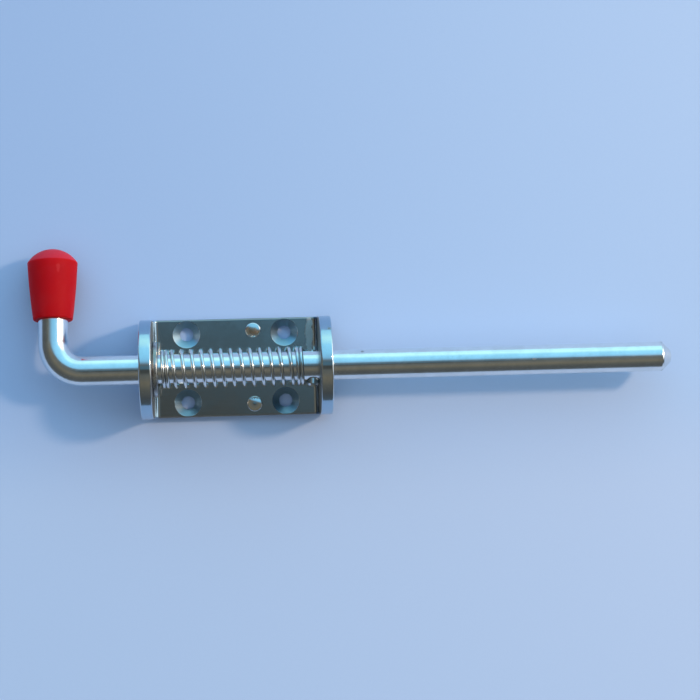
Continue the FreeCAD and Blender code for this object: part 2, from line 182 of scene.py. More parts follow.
class LatchFinishSettings(bpy.types.PropertyGroup):
    """Colours of the metal and of the cap, and the sizes that their finishes follow."""

    zinc: bpy.props.FloatVectorProperty(
        name="Zinc", description="Bright zinc plating",
        subtype="COLOR", size=4, min=0, max=1, default=(0.79, 0.815, 0.825, 1),
    )
    zinc_dull: bpy.props.FloatVectorProperty(
        name="Dull zinc", description="Zinc where it has clouded",
        subtype="COLOR", size=4, min=0, max=1, default=(0.62, 0.65, 0.655, 1),
    )
    # Painted reflection: a darker, bluer zinc on the rims' ends and in the left fold stands for the dimmer
    # light they mirror there.
    painted_dim_reflection: bpy.props.FloatVectorProperty(
        name="Rim reflection", description="Dimmer, bluer reflection painted on the rims' ends and in the left fold",
        subtype="COLOR", size=4, min=0, max=1, default=(0.40, 0.54, 0.66, 1),
    )
    # Painted reflection: a darker, blue-grey zinc in the countersinks stands for what they mirror; their
    # turned walls are also rougher.
    seat_painted_reflection: bpy.props.FloatVectorProperty(
        name="Seat reflection", description="Blue-grey reflection painted on the countersinks' turned walls",
        subtype="COLOR", size=4, min=0, max=1, default=(0.37, 0.53, 0.65, 1),
    )
    rod_zinc: bpy.props.FloatVectorProperty(
        name="Rod zinc", description="Bright zinc on the drawn bar",
        subtype="COLOR", size=4, min=0, max=1, default=(0.91, 0.92, 0.92, 1),
    )
    # Besides scuffs and cut sides, this steel is laid on the lugs' inner faces as painted shade.
    steel: bpy.props.FloatVectorProperty(
        name="Bare steel", description="Steel that shows in scuffs and on cut sides",
        subtype="COLOR", size=4, min=0, max=1, default=(0.30, 0.29, 0.28, 1),
    )
    # Painted shade: a dark colour laid into the right fold stands for the shade in its crease.
    fold_painted_shade: bpy.props.FloatVectorProperty(
        name="Fold shade", description="Painted shade in the right fold",
        subtype="COLOR", size=4, min=0, max=1, default=(0.07, 0.13, 0.20, 1),
    )
    # Painted reflection: the brown laid on the upper bump's crown stands for a warm reflection.
    bump_painted_reflection: bpy.props.FloatVectorProperty(
        name="Bump reflection", description="Brown reflection painted on the upper bump's crown",
        subtype="COLOR", size=4, min=0, max=1, default=(0.42, 0.30, 0.20, 1),
    )
    cap_red: bpy.props.FloatVectorProperty(
        name="Cap", description="Red of the moulded cap",
        subtype="COLOR", size=4, min=0, max=1, default=(0.47, 0.006, 0.011, 1),
    )
    # Painted sheen: the dome's paler, pinker red stands for the sky it mirrors, as the cap's own gloss is
    # kept low.
    cap_dome_sheen: bpy.props.FloatVectorProperty(
        name="Cap's dome sheen", description="Paler, pinker red painted on the cap's dome as sheen",
        subtype="COLOR", size=4, min=0, max=1, default=(0.52, 0.028, 0.05, 1),
    )
    cap_worn: bpy.props.FloatVectorProperty(
        name="Worn cap", description="Red where the cap is rubbed",
        subtype="COLOR", size=4, min=0, max=1, default=(0.60, 0.06, 0.065, 1),
    )
    cap_shoulder: bpy.props.FloatProperty(
        name="Cap's shoulder", description="Distance of the cap's widest ring from the bolt's axis",
        default=44.7 * MM, precision=4, unit="LENGTH",
    )
    handle_droop: bpy.props.FloatProperty(
        name="Handle droop", description="How far the handle hangs below level",
        default=0.1672, unit="ROTATION",
    )
    handle_bend: bpy.props.FloatProperty(
        name="Handle bend", description="Bend radius at the middle of the rod",
        default=11.5 * MM, precision=4, unit="LENGTH",
    )
    tip_length: bpy.props.FloatProperty(
        name="Tip", description="Length of the chamfer at the bolt's free end",
        default=3.5 * MM, precision=4, unit="LENGTH",
    )
    screw_along: bpy.props.FloatProperty(
        name="Screws along", description="Distance between screw holes along the bolt",
        default=40 * MM, precision=4, unit="LENGTH",
    )
    screw_across: bpy.props.FloatProperty(
        name="Screws across", description="Distance between screw holes across the bolt",
        default=28 * MM, precision=4, unit="LENGTH",
    )
    sink_radius: bpy.props.FloatProperty(
        name="Countersink", description="Radius of the countersinks at the plate's top",
        default=5.6 * MM, precision=4, unit="LENGTH",
    )
    lug_face: bpy.props.FloatProperty(
        name="Lug face", description="Distance of the lugs' inner faces from the middle",
        default=33.5 * MM, precision=4, unit="LENGTH",
    )
    bar_width: bpy.props.FloatProperty(
        name="Bar width", description="Width of the folded bar",
        default=40 * MM, precision=4, unit="LENGTH",
    )
    bar_thick: bpy.props.FloatProperty(
        name="Bar thickness", description="Thickness of the folded bar",
        default=5 * MM, precision=4, unit="LENGTH",
    )


class LatchStageSettings(bpy.types.PropertyGroup):
    """Paper, light and camera."""

    # Painted light: the paper is paler towards the lamp, and paler and warmer on the side away from the
    # handle.
    paper_left: bpy.props.FloatVectorProperty(
        name="Paper, left", description="Paper away from the lamp",
        subtype="COLOR", size=4, min=0, max=1, default=(0.36, 0.49, 0.75, 1),
    )
    paper_right: bpy.props.FloatVectorProperty(
        name="Paper, right", description="Paper towards the lamp",
        subtype="COLOR", size=4, min=0, max=1, default=(0.41, 0.55, 0.80, 1),
    )
    paper_front: bpy.props.FloatVectorProperty(
        name="Paper, front", description="Paper on the side away from the handle",
        subtype="COLOR", size=4, min=0, max=1, default=(0.47, 0.575, 0.79, 1),
    )
    key_power: bpy.props.FloatProperty(
        name="Key light", description="Power of the warm lamp", default=23.5, min=0, max=500,
    )
    key_size: bpy.props.FloatProperty(
        name="Key softness", description="Radius of the warm lamp",
        default=0.06, min=0, max=1, unit="LENGTH",
    )
    key_distance: bpy.props.FloatProperty(
        name="Key distance", description="How far off the lamp is",
        default=1.15, min=0.3, max=20, unit="LENGTH",
    )
    key_elevation: bpy.props.FloatProperty(
        name="Key elevation", description="Angle of the lamp over the paper",
        default=0.73, unit="ROTATION",
    )
    key_azimuth: bpy.props.FloatProperty(
        name="Key direction", description="Angle of the lamp from the bolt's free end",
        default=0.353, unit="ROTATION",
    )
    key_colour: bpy.props.FloatVectorProperty(
        name="Key colour", description="Colour of the warm lamp",
        subtype="COLOR", size=3, min=0, max=1, default=(1.0, 0.68, 0.44),
    )
    fill_strength: bpy.props.FloatProperty(
        name="Fill light", description="Strength of the broad light from the handle's side",
        default=1.5, min=0, max=20,
    )
    fill_colour: bpy.props.FloatVectorProperty(
        name="Fill colour", description="Colour of the broad light",
        subtype="COLOR", size=3, min=0, max=1, default=(0.74, 0.87, 1.0),
    )
    fill_tilt: bpy.props.FloatProperty(
        name="Fill tilt", description="How far the broad light leans from straight above",
        default=0.45, unit="ROTATION",
    )
    fill_angle: bpy.props.FloatProperty(
        name="Fill breadth", description="Angle that the broad light fills",
        default=2.0, min=0, max=3, unit="ROTATION",
    )
    sky_strength: bpy.props.FloatProperty(
        name="Surroundings", description="Strength of the light all round", default=1.25, min=0, max=10,
    )
    lens: bpy.props.FloatProperty(
        name="Lens", description="Focal length of the camera",
        default=102.857, min=10, max=400, unit="CAMERA",
    )
    camera_place: bpy.props.FloatVectorProperty(
        name="Camera place", description="Where the camera stands",
        subtype="TRANSLATION", unit="LENGTH", precision=5, default=(0.12 * MM, 0.18 * MM, 826.36 * MM),
    )
    camera_turn: bpy.props.FloatVectorProperty(
        name="Camera turn", description="How the camera is turned from looking straight down",
        subtype="EULER", unit="ROTATION", precision=5, default=(0.0085, -0.05666, -0.02643),
    )


class ShaderTree:
    """A node tree with short ways to add nodes and to join them."""

    def __init__(self, tree):
        self.tree = tree
        tree.nodes.clear()

    def add(self, kind, settings=None, **values):
        """Adds a node. A value is a constant, or another node's output to join to that input."""
        made = self.tree.nodes.new(kind)
        for key, value in (settings or {}).items():
            setattr(made, key, value)
        for key, value in values.items():
            self.put(made, key.replace("_", " "), value)
        return made

    def put(self, made, name, value):
        """Sets or joins the input of that name, or the one at that place."""
        place = name.removeprefix("at ")
        socket = made.inputs[name] if place == name else made.inputs[int(place)]
        if isinstance(value, bpy.types.NodeSocket):
            self.tree.links.new(value, socket)
        else:
            socket.default_value = value

    def group(self, name, **values):
        """The outputs of a shared node group, placed here."""
        return self.add("ShaderNodeGroup", {"node_tree": bpy.data.node_groups[name]}, **values).outputs

    def split(self, vector):
        """The three parts of a vector."""
        return self.add("ShaderNodeSeparateXYZ", Vector=vector).outputs

    def stretch(self, vector, scale):
        """A vector scaled along each axis."""
        return self.add("ShaderNodeMapping", Vector=vector, Scale=scale).outputs[0]

    def vectors(self, operation, **values):
        """A node that works on vectors."""
        return self.add("ShaderNodeVectorMath", {"operation": operation}, **values).outputs

    def along(self, vector, way):
        """How far a vector goes that way."""
        return self.vectors("DOT_PRODUCT", at_0=vector, at_1=way)["Value"]

    def sum(self, operation, first, second=None):
        """The result of a sum of one or two values."""
        made = self.add("ShaderNodeMath", {"operation": operation}, at_0=first)
        if second is not None:
            self.put(made, "at 1", second)
        return made.outputs[0]

    def plus(self, first, second):
        """One value and another."""
        return self.sum("ADD", first, second)

    def minus(self, first, second):
        """One value less another."""
        return self.sum("SUBTRACT", first, second)

    def times(self, first, second):
        """One value times another."""
        return self.sum("MULTIPLY", first, second)

    def most(self, first, second):
        """The larger of two values."""
        return self.sum("MAXIMUM", first, second)

    def off(self, value, middle):
        """How far a value is from a middle, to either side."""
        return self.sum("ABSOLUTE", self.minus(value, middle))

    def slant(self, first, second):
        """The long side over two sides that meet at a right angle."""
        return self.sum("SQRT", self.plus(self.times(first, first), self.times(second, second)))

    def noise(self, vector, scale, detail=2.0, roughness=0.5):
        """A noise between 0 and 1."""
        made = self.add(
            "ShaderNodeTexNoise", Vector=vector, Scale=scale, Detail=detail, Roughness=roughness,
        )
        return made.outputs["Fac"]

    def ease(self, value, low, high, start=0.0, end=1.0):
        """A smooth step from start to end as the value goes from low to high."""
        made = self.add(
            "ShaderNodeMapRange", {"interpolation_type": "SMOOTHSTEP"},
            Value=value, From_Min=low, From_Max=high, To_Min=start, To_Max=end,
        )
        return made.outputs[0]

    def fade(self, value, low, high):
        """A smooth step from 1 down to 0 as the value goes from low to high."""
        return self.ease(value, low, high, 1.0, 0.0)

    def spread(self, noise, start, end, low=NOISE_LOW):
        """A noise's usual run, laid out from start to end."""
        return self.ease(noise, low, NOISE_HIGH, start, end)

    def mix(self, share, first, second):
        """A mix of two colours, whose sockets come after those for numbers and vectors."""
        made = self.add("ShaderNodeMix", {"data_type": "RGBA"}, at_0=share, at_6=first, at_7=second)
        return made.outputs[2]

    def ramp(self, value, stops):
        """A colour ramp with a list of (place, colour) stops."""
        made = self.add("ShaderNodeValToRGB", Fac=value)
        band = made.color_ramp
        while len(band.elements) < len(stops):
            band.elements.new(1.0)
        for element, (place, colour) in zip(band.elements, stops):
            element.position = place
            element.color = (*colour, 1)
        return made.outputs["Color"]


def new_group(name, inputs, outputs):
    """An empty shader node group with named sockets: its tree, its inputs and its result."""
    group = bpy.data.node_groups.new(name, "ShaderNodeTree")
    for label, kind in inputs:
        group.interface.new_socket(name=label, in_out="INPUT", socket_type=f"NodeSocket{kind}")
    for label, kind in outputs:
        group.interface.new_socket(name=label, in_out="OUTPUT", socket_type=f"NodeSocket{kind}")
    tree = ShaderTree(group)
    given = tree.add("NodeGroupInput").outputs
    result = tree.add("NodeGroupOutput")
    return tree, given, result


def make_clouding():
    """Node group: soft clouds and fine grain of a plated or moulded surface."""
    tree, given, result = new_group(
        "clouding",
        [("Vector", "Vector"), ("Cloud Scale", "Float"), ("Grain Scale", "Float")],
        [("Cloud", "Float"), ("Grain", "Float")],
    )
    cloud = tree.noise(given["Vector"], given["Cloud Scale"], detail=4.0, roughness=0.6)
    grain = tree.noise(given["Vector"], given["Grain Scale"], detail=3.0, roughness=0.65)
    tree.put(result, "Cloud", tree.ease(cloud, low=0.35, high=0.68))
    tree.put(result, "Grain", grain)


def make_scuff():
    """Node group: a ragged patch about a place, 1 in the middle and 0 outside its reach."""
    tree, given, result = new_group(
        "scuff",
        [("Vector", "Vector"), ("Place", "Vector"), ("Reach", "Vector"), ("Rag Scale", "Float")],
        [("Mask", "Float")],
    )
    away = tree.vectors("SUBTRACT", at_0=given["Vector"], at_1=given["Place"])[0]
    share = tree.vectors("DIVIDE", at_0=away, at_1=given["Reach"])[0]
    length = tree.vectors("LENGTH", at_0=share)["Value"]
    rag = tree.noise(given["Vector"], given["Rag Scale"])
    edge = tree.plus(length, tree.minus(rag, 0.5))
    tree.put(result, "Mask", tree.fade(edge, low=0.5, high=1.0))


def make_bar_run(settings):
    """Node group: places on the bent bar, as across its width, across its height and along it.

    With the bend's centre at c, the distance from c counts only what lies before it along either leg,
    so it is the height over a leg on the straight runs and the radius in the bend.
    """
    tree, given, result = new_group("bar_run", [("Vector", "Vector")], [("Run", "Vector")])
    droop = settings.handle_droop
    level = tree.add(
        "ShaderNodeMapping", Vector=given["Vector"], Rotation=(droop, 0, 0),
        Location=(0, AXIS_HEIGHT * math.sin(droop), -AXIS_HEIGHT * math.cos(droop)),
    )
    x, y, z = tree.split(level.outputs[0])
    bend = settings.handle_bend
    handle = (CAP_LOW.x + CAP_HIGH.x) / 2
    before_x = tree.sum("MINIMUM", tree.minus(x, handle + bend), 0.0)
    before_y = tree.sum("MINIMUM", tree.minus(y, bend), 0.0)
    across = tree.minus(bend, tree.slant(before_x, before_y))
    run = tree.add("ShaderNodeCombineXYZ", X=across, Y=z, Z=tree.minus(x, y))
    tree.put(result, "Run", run.outputs[0])


def make_drawn_lines():
    """Node group: fine lines that run along a drawn bar or wire."""
    tree, given, result = new_group(
        "drawn_lines",
        [("Run", "Vector"), ("Line Scale", "Float")],
        [("Lines", "Float")],
    )
    narrow = tree.stretch(given["Run"], DRAWN_STRETCH)
    tree.put(result, "Lines", tree.noise(narrow, given["Line Scale"], detail=4.0, roughness=0.7))


def make_screw_seats(settings):
    """Node group: 1 in the four countersinks and 0 outside, by the distance to the nearest hole."""
    tree, given, result = new_group("screw_seats", [("Vector", "Vector")], [("Mask", "Float")])
    x, y, _ = tree.split(given["Vector"])
    off_x = tree.minus(tree.sum("ABSOLUTE", x), settings.screw_along / 2)
    off_y = tree.minus(tree.sum("ABSOLUTE", y), settings.screw_across / 2)
    away = tree.sum("DIVIDE", tree.slant(off_x, off_y), settings.sink_radius)
    tree.put(result, "Mask", tree.fade(away, *SEAT_FADE))


def shared_groups(settings):
    """Makes the node groups once."""
    if "clouding" in bpy.data.node_groups:
        return
    make_clouding()
    make_scuff()
    make_bar_run(settings)
    make_drawn_lines()
    make_screw_seats(settings)


def new_material(name, **constants):
    """A node material, its tree, its shader and its coordinates."""
    material = bpy.data.materials.new(name)
    material.use_nodes = True
    tree = ShaderTree(material.node_tree)
    shader = tree.add("ShaderNodeBsdfPrincipled", **constants)
    out = tree.add("ShaderNodeOutputMaterial")
    tree.put(out, "Surface", shader.outputs[0])
    coords = tree.add("ShaderNodeTexCoord").outputs
    return material, tree, shader, coords


def clouded(tree, cloud, bright, dull, share):
    """A bright colour that takes a share of a dull one in the clouds."""
    return tree.mix(tree.times(cloud, share), bright, dull)


def scuffed(tree, place, mark):
    """The mask of a mark of wear."""
    middle, reach, rag = mark
    made = tree.group(
        "scuff", Vector=place, Rag_Scale=rag,
        Place=tuple(v * MM for v in middle), Reach=tuple(v * MM for v in reach),
    )
    return made["Mask"]


def bump(tree, shader, height, strength, distance):
    """Raises the surface by a height between 0 and 1."""
    made = tree.add("ShaderNodeBump", Height=height, Strength=strength, Distance=distance)
    tree.put(shader, "Normal", made.outputs[0])
    return made


def dress_node(name, material):
    """Gives a CAD node its material."""
    slots = frame["nodes"][name].data.materials
    slots.clear()
    slots.append(material)


def bar_masks(tree, place, settings):
    """Masks of the bracket's places, each 1 inside and 0 outside.

    The lugs' inner faces and the bar's sides go by their distance from a plane, the rims' ends by theirs
    from the middle of a lug and from the bolt, and the folds by their place along and above the plate.
    """
    thick = settings.bar_thick
    half = settings.bar_width / 2
    lug = settings.lug_face
    x, y, z = tree.split(place)
    off_x = tree.sum("ABSOLUTE", x)
    off_y = tree.sum("ABSOLUTE", y)
    on_face = tree.fade(tree.off(off_x, lug), *FACE_OFF)
    face = tree.times(on_face, tree.ease(z, thick + FACE_UP[0], thick + FACE_UP[1]))
    on_side = tree.ease(off_y, half - SIDE_IN[0], half - SIDE_IN[1])
    side = tree.times(on_side, tree.fade(z, thick, thick + SIDE_UP))
    in_lug = tree.fade(tree.off(off_x, lug + thick / 2), thick / 2 - RIM_IN[0], thick / 2 - RIM_IN[1])
    rim = tree.times(in_lug, tree.ease(off_y, *RIM_OUT))
    low = tree.fade(z, thick + FOLD_UP[0], thick + FOLD_UP[1])
    start = lug - FOLD_IN[0]
    end = lug - FOLD_IN[1]
    left_fold = tree.times(tree.ease(x, -start, -end), low)
    right_fold = tree.times(tree.ease(x, start, end), low)
    return tree.most(face, side), rim, left_fold, right_fold


def plated_bar(settings):
    """Zinc plated flat bar: soft clouds, rolled grain along the bar, dull cut sides, painted shade and
    painted reflections in its folds, countersinks, rims' ends, lugs' inner faces and on a bump, and a few
    worn places.
    """
    material, tree, shader, coords = new_material("zinc_plated_bar", Metallic=1.0)
    place = coords["Object"]
    clouds = tree.group("clouding", Vector=place, Cloud_Scale=110.0, Grain_Scale=1500.0)
    grain = tree.noise(tree.stretch(place, ROLLED_STRETCH), scale=2200.0, detail=3.0, roughness=0.6)
    sides, rim, left_fold, right_fold = bar_masks(tree, place, settings)
    seats = tree.group("screw_seats", Vector=place)["Mask"]
    colour = clouded(tree, clouds["Cloud"], settings.zinc, settings.zinc_dull, share=0.55)
    rough = tree.ease(clouds["Cloud"], 0, 1, start=0.07, end=0.11)
    rough = tree.plus(rough, tree.spread(grain, -0.01, 0.02))
    # Each layer's mask, its colour, the share of that colour and how much rougher the layer is.
    layers = (
        # Painted shade: the lugs' inner faces take dark steel for the shade between them; the bar's cut sides
        # are dull bare steel, darkened also to paint out the bright line along the plate's edge.
        (sides, settings.steel, 0.85, 0.3),
        # Painted reflection: the rims' ends darker and bluer.
        (rim, settings.painted_dim_reflection, 1.0, 0.04),
        # Painted reflection in the countersinks, which are also rougher.
        (seats, settings.seat_painted_reflection, 1.0, 0.3),
        # Painted shade: the left fold darker and bluer.
        (left_fold, settings.painted_dim_reflection, 1.0, 0.04),
        # Painted shade in the right fold's crease.
        (right_fold, settings.fold_painted_shade, 0.9, 0.05),
        (scuffed(tree, place, PALE_BAND), settings.zinc, 1.0, 0.45),
        # Painted reflection: brown on the upper bump's crown, which is also rougher.
        (scuffed(tree, place, BUMP_PAINTED_REFLECTION), settings.bump_painted_reflection, 0.9, 0.25),
        (scuffed(tree, place, LUG_NICK), settings.steel, 0.85, 0.3),
    )
    for mask, tint, share, rougher in layers:
        colour = tree.mix(tree.times(mask, share), colour, tint)
        rough = tree.plus(rough, tree.times(mask, rougher))
    tree.put(shader, "Base Color", colour)
    tree.put(shader, "Roughness", rough)
    height = tree.plus(tree.times(clouds["Cloud"], 0.6), tree.times(grain, 0.1))
    bump(tree, shader, height, strength=0.08, distance=0.04 * MM)
    return material


def washer_steel(settings):
    """Dull plated washer: heavy clouds and a fine grain."""
    material, tree, shader, coords = new_material("dull_washer", Metallic=1.0)
    clouds = tree.group("clouding", Vector=coords["Object"], Cloud_Scale=260.0, Grain_Scale=1900.0)
    tree.put(shader, "Base Color", tree.mix(clouds["Cloud"], settings.zinc_dull, settings.steel))
    tree.put(shader, "Roughness", tree.spread(clouds["Grain"], 0.24, 0.36))
    bump(tree, shader, clouds["Grain"], strength=0.12, distance=0.03 * MM)
    return material


def drawn_bar(settings):
    """Zinc plated drawn bar: fine lines along the bar, grain, two small scuffs and a cut, softened tip."""
    material, tree, shader, coords = new_material("zinc_drawn_bar", Metallic=1.0)
    place = coords["Object"]
    run = tree.group("bar_run", Vector=place)["Run"]
    lines = tree.group("drawn_lines", Run=run, Line_Scale=2600.0)["Lines"]
    clouds = tree.group("clouding", Vector=place, Cloud_Scale=160.0, Grain_Scale=1300.0)
    x = tree.split(place)["X"]
    edge = CAD_BOX[1][0] - settings.tip_length
    cut = tree.ease(x, edge - TIP_SHARP, edge + TIP_SHARP, start=0.0, end=0.2)
    marks = tree.most(scuffed(tree, place, BOLT_SCUFF), scuffed(tree, place, BOLT_SCRATCH))
    marks = tree.most(marks, cut)
    bared = tree.times(marks, 0.7)
    roughened = tree.times(marks, 0.2)
    colour = clouded(tree, clouds["Cloud"], settings.rod_zinc, settings.zinc_dull, share=0.3)
    tree.put(shader, "Base Color", tree.mix(bared, colour, settings.steel))
    grained = tree.spread(clouds["Grain"], 0.0, 0.06, low=GRAIN_LOW)
    rough = tree.plus(tree.spread(lines, 0.10, 0.17), grained)
    tree.put(shader, "Roughness", tree.plus(rough, roughened))
    soft = tree.fade(x, edge - TIP_SOFT, edge + TIP_SHARP)
    rounded = tree.add("ShaderNodeBump", Height=soft, Strength=1.0, Distance=TIP_DEPTH)
    height = tree.plus(tree.times(lines, 0.7), tree.times(clouds["Grain"], 0.3))
    fine = bump(tree, shader, height, strength=0.10, distance=0.03 * MM)
    tree.put(fine, "Normal", rounded.outputs[0])
    return material


def pin_steel(settings):
    """Plated pin with a fine, slightly rough grain."""
    material, tree, shader, coords = new_material("plated_pin", Metallic=1.0)
    clouds = tree.group("clouding", Vector=coords["Object"], Cloud_Scale=420.0, Grain_Scale=2600.0)
    colour = clouded(tree, clouds["Cloud"], settings.zinc, settings.zinc_dull, share=0.3)
    tree.put(shader, "Base Color", colour)
    tree.put(shader, "Roughness", tree.spread(clouds["Grain"], 0.14, 0.22))
    bump(tree, shader, clouds["Grain"], strength=0.15, distance=0.03 * MM)
    return material


def spring_wire(settings):
    """Bright plated wire with lines along it, read from the wire's own map of length and girth."""
    material, tree, shader, coords = new_material("bright_spring_wire", Metallic=1.0)
    length, girth, _ = tree.split(coords["UV"])
    run = tree.add("ShaderNodeCombineXYZ", X=girth, Y=0.0, Z=length)
    lines = tree.group("drawn_lines", Run=run.outputs[0], Line_Scale=9.0)["Lines"]
    clouds = tree.group("clouding", Vector=coords["Object"], Cloud_Scale=240.0, Grain_Scale=2400.0)
    colour = clouded(tree, clouds["Cloud"], settings.zinc, settings.zinc_dull, share=0.4)
    tree.put(shader, "Base Color", colour)
    grained = tree.spread(clouds["Grain"], 0.0, 0.05, low=GRAIN_LOW)
    tree.put(shader, "Roughness", tree.plus(tree.spread(lines, 0.10, 0.18), grained))
    bump(tree, shader, lines, strength=0.08, distance=0.02 * MM)
    return material


def moulded_cap(settings):
    """Soft moulded plastic: faint clouds in the red, a satin skin, a paler dome with painted sheen and a
    rubbed spot.
    """
    material, tree, shader, coords = new_material(
        "red_moulded_cap", Metallic=0.0, IOR=1.5, Specular_IOR_Level=0.06,
        Subsurface_Weight=1.0, Subsurface_Radius=(1.0, 0.12, 0.1), Subsurface_Scale=8 * MM,
    )
    place = coords["Object"]
    clouds = tree.group("clouding", Vector=place, Cloud_Scale=180.0, Grain_Scale=2200.0)
    rubbed = tree.times(scuffed(tree, place, CAP_RUB), 0.3)
    worn = tree.plus(tree.times(clouds["Cloud"], 0.06), rubbed)
    body = tree.mix(worn, settings.cap_red, settings.cap_worn)
    droop = settings.handle_droop
    along = tree.along(place, (0, math.cos(droop), -math.sin(droop)))
    shoulder = settings.cap_shoulder - AXIS_HEIGHT * math.sin(droop)
    dome = tree.ease(along, shoulder - DOME_BEFORE, shoulder + DOME_AFTER)
    # Painted sheen on the dome.
    tree.put(shader, "Base Color", tree.mix(dome, body, settings.cap_dome_sheen))
    tree.put(shader, "Roughness", tree.spread(clouds["Grain"], 0.50, 0.62))
    bump(tree, shader, clouds["Grain"], strength=0.15, distance=0.04 * MM)
    return material


def coil_places(settings, start, end, steps):
    """Where each of the wire's steps lies along the bolt.

    The advance per turn is that of closed coils at both ends, rises by a smooth step to the open advance
    over the eased turns, and its running sum is scaled so that the open coils share what length is left.
    """
    turn = np.linspace(0, settings.turns, steps)
    from_end = np.minimum(turn, settings.turns - turn)
    rise = np.clip((from_end - settings.closed) / settings.eased, 0, 1)
    opened = rise * rise * (3 - 2 * rise)
    running = np.concatenate([[0], np.cumsum((opened[1:] + opened[:-1]) / 2 * np.diff(turn))])
    close = settings.wire + settings.close_gap
    spare = (end - start) - close * settings.turns
    return turn, start + close * turn + spare * running / running[-1]


def wire_surface(settings, start, end, steps, sides):
    """The spring's skin on a grid of steps along the wire and sides round it, and its length in wires.

    The wire's middle is at coil radius about the bolt and turns from the front towards below. Each ring is
    the middle plus wire radius times the cosine of the outward direction and the sine of the sideways one,
    where sideways is the wire's direction crossed with outward.
    """
    turn, along = coil_places(settings, start, end, steps)
    angle = turn * 2 * math.pi
    outward = np.stack([np.zeros(steps), -np.cos(angle), -np.sin(angle)], 1)
    bolt = np.stack([along, np.zeros(steps), np.full(steps, AXIS_HEIGHT)], 1)
    middle = outward * settings.coil + bolt
    forward = np.gradient(middle, axis=0)
    forward /= np.linalg.norm(forward, axis=1)[:, None]
    sideways = np.cross(forward, outward)
    sideways /= np.linalg.norm(sideways, axis=1)[:, None]
    girth = np.arange(sides)[None, :, None] * 2 * math.pi / sides
    ring = np.cos(girth) * outward[:, None, :] + np.sin(girth) * sideways[:, None, :]
    points = (middle[:, None, :] + ring * settings.wire / 2).reshape(-1, 3)
    length = np.concatenate([[0], np.cumsum(np.linalg.norm(np.diff(middle, axis=0), axis=1))])
    return points, length / settings.wire


def ring_faces(steps, sides):
    """Quads of a grid that closes round its sides, and the corner places of their maps."""
    step, side = np.meshgrid(np.arange(steps - 1), np.arange(sides), indexing="ij")
    after = (side + 1) % sides
    quads = np.stack([
        step * sides + side, step * sides + after, (step + 1) * sides + after, (step + 1) * sides + side,
    ], -1).reshape(-1, 4)
    corner_steps = np.stack([step, step, step + 1, step + 1], -1).reshape(-1, 4)
    corner_sides = np.stack([side, side + 1, side + 1, side], -1).reshape(-1, 4)
    return quads, corner_steps, corner_sides


def build_spring(settings):
    """The spring as one closed mesh with its cut ends, and where it starts and ends along the bolt."""
    steps = WIRE_STEPS
    sides = WIRE_SIDES
    start = SPRING_LOW.x + settings.wire / 2
    end = PIN_LOW.x - settings.wire / 2 - settings.pin_gap
    points, length = wire_surface(settings, start, end, steps, sides)
    quads, corner_steps, corner_sides = ring_faces(steps, sides)
    first = list(range(sides))[::-1]
    last = list(range((steps - 1) * sides, steps * sides))
    mesh = bpy.data.meshes.new("spring_wound")
    mesh.from_pydata(points.tolist(), [], quads.tolist() + [first, last])
    smooth = np.ones(len(quads) + 2, bool)
    smooth[-2:] = False
    mesh.polygons.foreach_set("use_smooth", smooth)
    layer = mesh.uv_layers.new(name="wire_map")
    walls = np.stack([length[corner_steps], corner_sides / sides], -1).reshape(-1, 2)
    ends = np.zeros((sides * 2, 2))
    layer.data.foreach_set("uv", np.concatenate([walls, ends]).astype(np.float32).ravel())
    mesh.update()
    if mesh.validate():
        raise RuntimeError("the spring's mesh has faces that don't hold")
    return mesh, start - settings.wire / 2, end + settings.wire / 2


class LATCH_OT_spring(bpy.types.Operator):
    """Winds the spring round the bolt, between the washer and the stop pin"""

    bl_idname = "latch.spring"
    bl_label = "Wind the spring"

    def execute(self, context):
        latch = context.scene
        shared_groups(latch.latch_finish)
        mesh, low, high = build_spring(latch.latch_spring)
        spring = bpy.data.objects.new("spring_coils", mesh)
        latch.collection.objects.link(spring)
        mesh.materials.append(spring_wire(latch.latch_finish))
        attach(spring, "spring")
        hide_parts("spring")
        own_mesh(spring)
        return {"FINISHED"}


class LATCH_OT_bracket(bpy.types.Operator):
    """Finishes the folded bracket and its washer in clouded zinc"""

    bl_idname = "latch.bracket"
    bl_label = "Finish the bracket"

    def execute(self, context):
        finish = context.scene.latch_finish
        shared_groups(finish)
        dress_node("bracket", plated_bar(finish))
        dress_node("washer", washer_steel(finish))
        return {"FINISHED"}


class LATCH_OT_bolt(bpy.types.Operator):
    """Finishes the bolt and its stop pin"""

    bl_idname = "latch.bolt"
    bl_label = "Finish the bolt"

    def execute(self, context):
        finish = context.scene.latch_finish
        shared_groups(finish)
        dress_node("bolt_rod", drawn_bar(finish))
        dress_node("stop_pin", pin_steel(finish))
        return {"FINISHED"}


class LATCH_OT_cap(bpy.types.Operator):
    """Finishes the handle's moulded cap"""

    bl_idname = "latch.cap"
    bl_label = "Finish the cap"

    def execute(self, context):
        finish = context.scene.latch_finish
        shared_groups(finish)
        dress_node("handle_cap", moulded_cap(finish))
        return {"FINISHED"}


